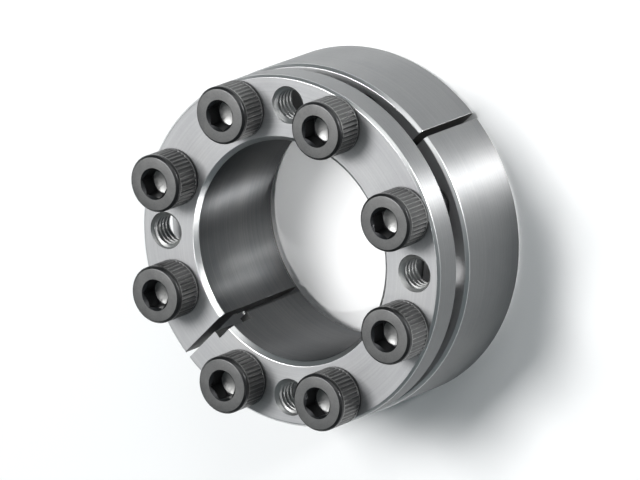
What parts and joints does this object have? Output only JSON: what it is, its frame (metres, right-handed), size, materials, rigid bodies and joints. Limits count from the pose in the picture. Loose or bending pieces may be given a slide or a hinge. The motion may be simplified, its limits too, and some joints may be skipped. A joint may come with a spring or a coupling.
{
  "type": "keyless locking assembly",
  "caption": "Self-centring taper clamp that fixes a hub to a plain round shaft: a slotted inner ring with a collar is drawn by socket screws into a slotted outer ring.",
  "frame": {"origin": "on the shaft axis, in the outer ring's rear face, on which the part stands", "axes": "+Z along the shaft axis from the rear face to the screw heads; +X through the outer ring's slit, so the inner ring's slit is at -X"},
  "size_m": [0.08, 0.08, 0.04],
  "materials": {
    "machined_steel": "fine turned and ground, bare",
    "black_screw_steel": "black oxide, lightly oiled"
  },
  "bodies": {
    "outer_ring": {"outer_ring": "machined_steel"},
    "inner_ring": {"inner_ring": "machined_steel"},
    "screw_1": {"screw_1": "black_screw_steel"},
    "screw_2": {"screw_2": "black_screw_steel"},
    "screw_3": {"screw_3": "black_screw_steel"},
    "screw_4": {"screw_4": "black_screw_steel"},
    "screw_5": {"screw_5": "black_screw_steel"},
    "screw_6": {"screw_6": "black_screw_steel"},
    "screw_7": {"screw_7": "black_screw_steel"},
    "screw_8": {"screw_8": "black_screw_steel"}
  },
  "joints": [
    {"name": "taper_slide", "type": "slide", "parent": "outer_ring", "child": "inner_ring", "axis": [0, 0, 1], "range_m": [-0.0005, 0.0025]},
    {"name": "screw_1_turn", "type": "hinge", "parent": "inner_ring", "child": "screw_1", "pos_m": [0.03077, 0.01274, 0.032], "axis": [0, 0, 1], "range_deg": [-145, 721]},
    {"name": "screw_2_turn", "type": "hinge", "parent": "inner_ring", "child": "screw_2", "pos_m": [0.01274, 0.03077, 0.032], "axis": [0, 0, 1], "range_deg": [-145, 721]},
    {"name": "screw_3_turn", "type": "hinge", "parent": "inner_ring", "child": "screw_3", "pos_m": [-0.01274, 0.03077, 0.032], "axis": [0, 0, 1], "range_deg": [-145, 721]},
    {"name": "screw_4_turn", "type": "hinge", "parent": "inner_ring", "child": "screw_4", "pos_m": [-0.03077, 0.01274, 0.032], "axis": [0, 0, 1], "range_deg": [-145, 721]},
    {"name": "screw_5_turn", "type": "hinge", "parent": "inner_ring", "child": "screw_5", "pos_m": [-0.03077, -0.01274, 0.032], "axis": [0, 0, 1], "range_deg": [-145, 721]},
    {"name": "screw_6_turn", "type": "hinge", "parent": "inner_ring", "child": "screw_6", "pos_m": [-0.01274, -0.03077, 0.032], "axis": [0, 0, 1], "range_deg": [-145, 721]},
    {"name": "screw_7_turn", "type": "hinge", "parent": "inner_ring", "child": "screw_7", "pos_m": [0.01274, -0.03077, 0.032], "axis": [0, 0, 1], "range_deg": [-145, 721]},
    {"name": "screw_8_turn", "type": "hinge", "parent": "inner_ring", "child": "screw_8", "pos_m": [0.03077, -0.01274, 0.032], "axis": [0, 0, 1], "range_deg": [-145, 721]}
  ],
  "couplings": [
    {"joint": "screw_1_turn", "follows": "taper_slide", "rad_per_m": 5026.5},
    {"joint": "screw_2_turn", "follows": "taper_slide", "rad_per_m": 5026.5},
    {"joint": "screw_3_turn", "follows": "taper_slide", "rad_per_m": 5026.5},
    {"joint": "screw_4_turn", "follows": "taper_slide", "rad_per_m": 5026.5},
    {"joint": "screw_5_turn", "follows": "taper_slide", "rad_per_m": 5026.5},
    {"joint": "screw_6_turn", "follows": "taper_slide", "rad_per_m": 5026.5},
    {"joint": "screw_7_turn", "follows": "taper_slide", "rad_per_m": 5026.5},
    {"joint": "screw_8_turn", "follows": "taper_slide", "rad_per_m": 5026.5}
  ]
}
